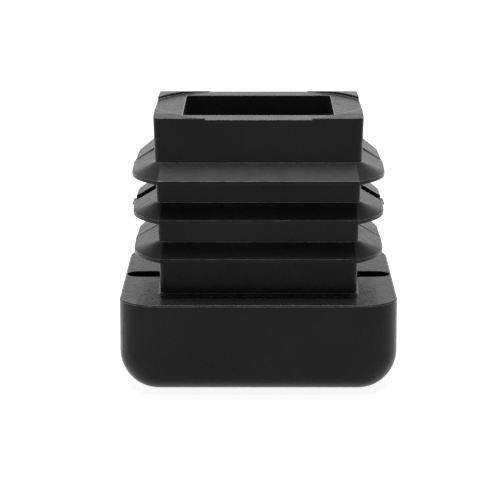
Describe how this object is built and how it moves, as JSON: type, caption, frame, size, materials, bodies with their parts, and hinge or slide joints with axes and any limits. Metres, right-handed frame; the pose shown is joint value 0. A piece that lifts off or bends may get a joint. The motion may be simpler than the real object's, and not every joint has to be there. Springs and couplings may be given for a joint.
{
  "type": "tube end cap",
  "caption": "Black moulded end cap for a square tube: a rounded square head with a hollow, finned stem that presses into the tube's end.",
  "frame": {"origin": "centre of the outer face of the head, on which the cap stands", "axes": "+Z along the stem, from the outer face to the pocket's mouth; X to the right and Y to the back; the mould parts on the plane Y = 0"},
  "size_m": [0.03, 0.03, 0.0296],
  "materials": {
    "black_plastic": "near-black moulded plastic, satin, with a fine spark-eroded grain"
  },
  "bodies": {
    "root": {"end_cap": "black_plastic"}
  },
  "joints": []
}
